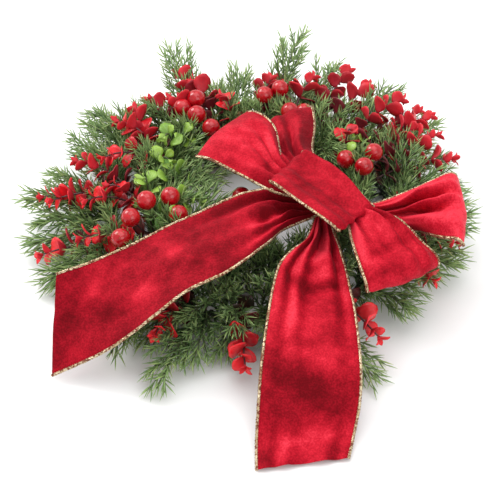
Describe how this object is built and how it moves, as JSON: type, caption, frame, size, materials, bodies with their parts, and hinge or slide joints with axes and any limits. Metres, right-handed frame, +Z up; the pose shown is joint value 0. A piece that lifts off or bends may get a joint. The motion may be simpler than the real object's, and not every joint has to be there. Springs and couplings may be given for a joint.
{
  "type": "christmas wreath",
  "caption": "Artificial evergreen wreath with red leaf stems, berries and light green sprigs on a wire ring, and a velvet bow with gold wired edges.",
  "frame": {"origin": "under the middle of the whole wreath, on the surface that its wire frame lies on", "axes": "+Z up, away from the surface; -Y towards the long ribbon tail; +X to the right, seen with the long tail nearest"},
  "size_m": [0.3444, 0.425, 0.0871],
  "materials": {
    "dark_wire": "black painted wire",
    "red_velvet": "velvet with a soft sheen",
    "gold_thread": "metallic thread woven over a thin wire",
    "needle_green": "matt moulded needles",
    "leaf_red": "satin leaves, red at the tips and dark lower down",
    "leaf_green": "satin light green leaves",
    "berry_red": "glossy berries"
  },
  "bodies": {
    "root": {"berries_back": "berry_red", "berries_back_left": "berry_red", "berries_left": "berry_red", "berries_right": "berry_red", "bow_band": "red_velvet", "bow_loop_back": "red_velvet", "bow_loop_front": "red_velvet", "bow_loop_left": "red_velvet", "bow_loop_right": "red_velvet", "bow_tail_left": "red_velvet", "bow_tail_right": "red_velvet", "bow_tie_wire": "dark_wire", "gold_edge_band_far": "gold_thread", "gold_edge_band_near": "gold_thread", "gold_edge_loop_back": "gold_thread", "gold_edge_loop_front": "gold_thread", "gold_edge_loop_left": "gold_thread", "gold_edge_loop_right": "gold_thread", "gold_edge_tail_left": "gold_thread", "gold_edge_tail_right": "gold_thread", "green_leaf_sprig_back_left": "leaf_green", "green_leaf_sprig_left": "leaf_green", "green_leaf_sprig_right": "leaf_green", "needle_spray_back_left_low": "needle_green", "needle_spray_back_left_tall": "needle_green", "needle_spray_back_middle": "needle_green", "needle_spray_back_right": "needle_green", "needle_spray_back_tall": "needle_green", "needle_spray_front_left": "needle_green", "needle_spray_front_left_inner": "needle_green", "needle_spray_front_low": "needle_green", "needle_spray_front_right": "needle_green", "needle_spray_inner_back": "needle_green", "needle_spray_inner_front": "needle_green", "needle_spray_inner_hole": "needle_green", "needle_spray_inner_left": "needle_green", "needle_spray_left_back": "needle_green", "needle_spray_left_front": "needle_green", "needle_spray_left_lower": "needle_green", "needle_spray_left_upper": "needle_green", "needle_spray_right_back": "needle_green", "needle_spray_right_back_low": "needle_green", "needle_spray_right_front": "needle_green", "needle_spray_right_low": "needle_green", "needle_spray_right_middle": "needle_green", "red_leaf_stem_back_left": "leaf_red", "red_leaf_stem_back_middle": "leaf_red", "red_leaf_stem_back_right": "leaf_red", "red_leaf_stem_front_left": "leaf_red", "red_leaf_stem_front_low": "leaf_red", "red_leaf_stem_front_middle": "leaf_red", "red_leaf_stem_front_right": "leaf_red", "red_leaf_stem_left_back": "leaf_red", "red_leaf_stem_left_front": "leaf_red", "red_leaf_stem_left_low": "leaf_red", "red_leaf_stem_left_tall": "leaf_red", "red_leaf_stem_right_back": "leaf_red", "red_leaf_stem_right_middle": "leaf_red", "red_leaf_stem_right_tall": "leaf_red", "wire_frame": "dark_wire"}
  },
  "joints": []
}
